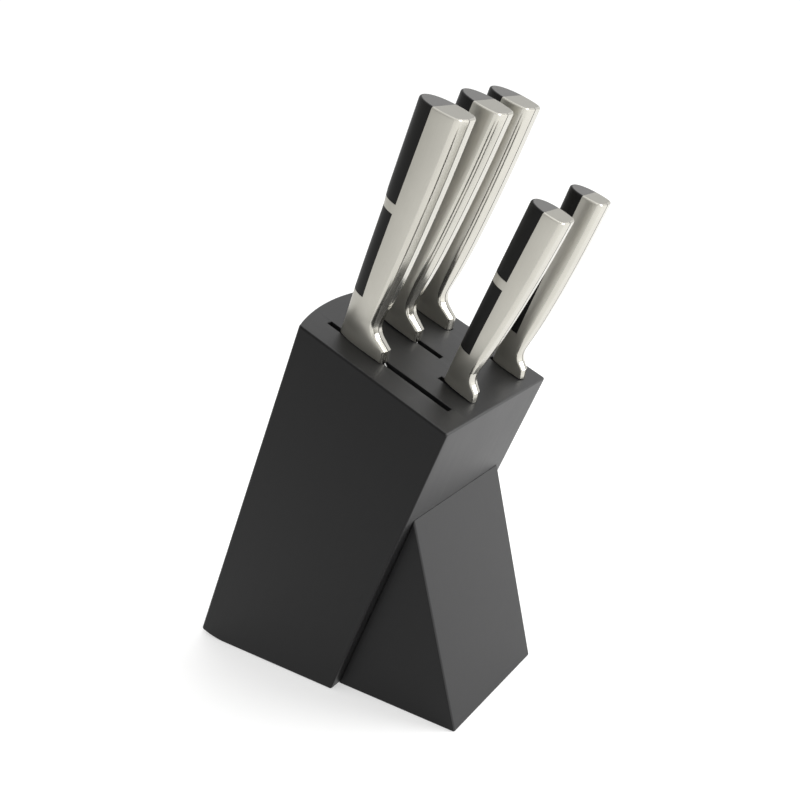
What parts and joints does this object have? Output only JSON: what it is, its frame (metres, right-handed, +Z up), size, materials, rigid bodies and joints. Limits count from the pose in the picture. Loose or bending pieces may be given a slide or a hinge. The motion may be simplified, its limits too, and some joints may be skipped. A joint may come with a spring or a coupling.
{
  "type": "knife block with knives",
  "caption": "Leaning block of black painted wood on a wedge stand, holding kitchen knives with brushed steel handles and black spine inlays in its slots.",
  "frame": {"origin": "on the resting plane, under the middle of the object's box", "axes": "+Z up, -Y towards the front of the stand, +X across the width, to the right seen from the front"},
  "size_m": [0.1, 0.2432, 0.33],
  "materials": {
    "black_painted_wood": "satin black paint on wood",
    "handle_steel": "satin brushed sides, polished belly",
    "blade_steel": "fine ground stainless steel",
    "black_inlay": "matt black moulded plastic",
    "beech_dowel": "plain beech"
  },
  "bodies": {
    "block": {"bread_slot_back_strip": "black_painted_wood", "bread_slot_front_strip": "black_painted_wood", "carving_slot_back_strip": "black_painted_wood", "carving_slot_front_strip": "black_painted_wood", "carving_slot_middle_strip": "black_painted_wood", "chef_slot_back_strip": "black_painted_wood", "chef_slot_front_strip": "black_painted_wood", "left_cheek": "black_painted_wood", "left_inner_board": "black_painted_wood", "middle_inner_board": "black_painted_wood", "right_cheek": "black_painted_wood", "right_inner_board": "black_painted_wood", "stand": "black_painted_wood", "stand_dowels": "beech_dowel", "utility_slot_back_strip": "black_painted_wood", "utility_slot_front_strip": "black_painted_wood"},
    "chef_knife": {"chef_blade": "blade_steel", "chef_handle": "handle_steel", "chef_lower_inlay": "black_inlay", "chef_upper_inlay": "black_inlay"},
    "bread_knife": {"bread_blade": "blade_steel", "bread_handle": "handle_steel", "bread_lower_inlay": "black_inlay", "bread_upper_inlay": "black_inlay"},
    "carving_knife": {"carving_blade": "blade_steel", "carving_handle": "handle_steel", "carving_lower_inlay": "black_inlay", "carving_upper_inlay": "black_inlay"},
    "utility_knife": {"utility_blade": "blade_steel", "utility_handle": "handle_steel", "utility_lower_inlay": "black_inlay", "utility_upper_inlay": "black_inlay"},
    "paring_knife": {"paring_blade": "blade_steel", "paring_handle": "handle_steel", "paring_lower_inlay": "black_inlay", "paring_upper_inlay": "black_inlay"}
  },
  "joints": [
    {"name": "chef_draw", "type": "slide", "parent": "block", "child": "chef_knife", "axis": [0, -0.4305, 0.9026], "range_m": [0, 0.215]},
    {"name": "bread_draw", "type": "slide", "parent": "block", "child": "bread_knife", "axis": [0, -0.4524, 0.8918], "range_m": [0, 0.215]},
    {"name": "carving_draw", "type": "slide", "parent": "block", "child": "carving_knife", "axis": [0, -0.4305, 0.9026], "range_m": [0, 0.21]},
    {"name": "utility_draw", "type": "slide", "parent": "block", "child": "utility_knife", "axis": [0, -0.4695, 0.8829], "range_m": [0, 0.14]},
    {"name": "paring_draw", "type": "slide", "parent": "block", "child": "paring_knife", "axis": [0, -0.4226, 0.9063], "range_m": [0, 0.105]}
  ]
}
